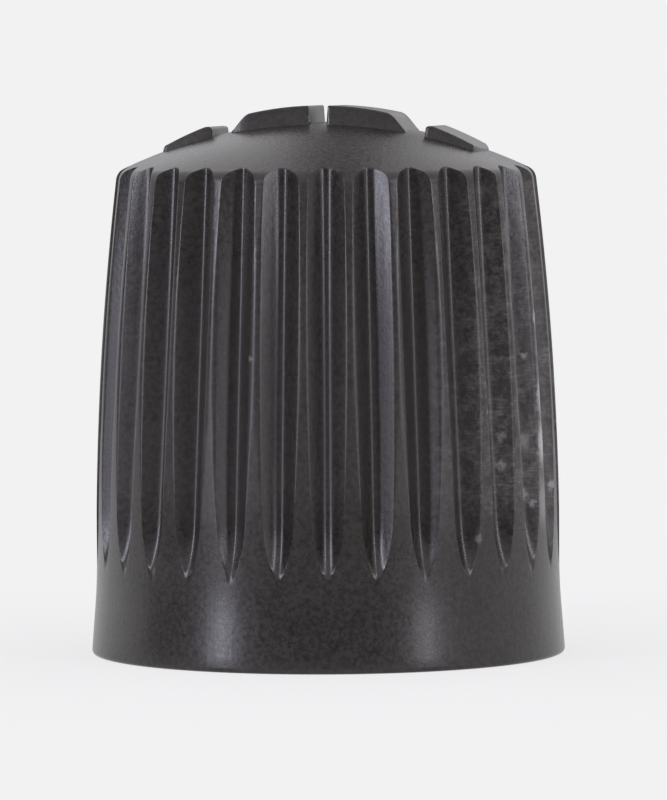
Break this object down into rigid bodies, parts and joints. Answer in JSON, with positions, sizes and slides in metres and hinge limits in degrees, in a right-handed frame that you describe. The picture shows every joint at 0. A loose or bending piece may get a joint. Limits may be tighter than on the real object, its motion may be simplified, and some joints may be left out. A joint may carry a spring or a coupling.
{
  "type": "tyre valve protection cap",
  "caption": "Moulded plastic screw cap for a tyre valve: fluted barrel, smooth flared skirt, domed crown with plain raised blocks, and a threaded blind bore.",
  "frame": {"origin": "centre of the mouth, in the plane that the rim stands on", "axes": "+Z along the cap's axis, from the mouth up through the crown; -Y is the front, where the middle of one flute faces"},
  "size_m": [0.01, 0.01, 0.0115],
  "materials": {
    "black_plastic": "satin"
  },
  "bodies": {
    "root": {"valve_cap": "black_plastic"}
  },
  "joints": []
}
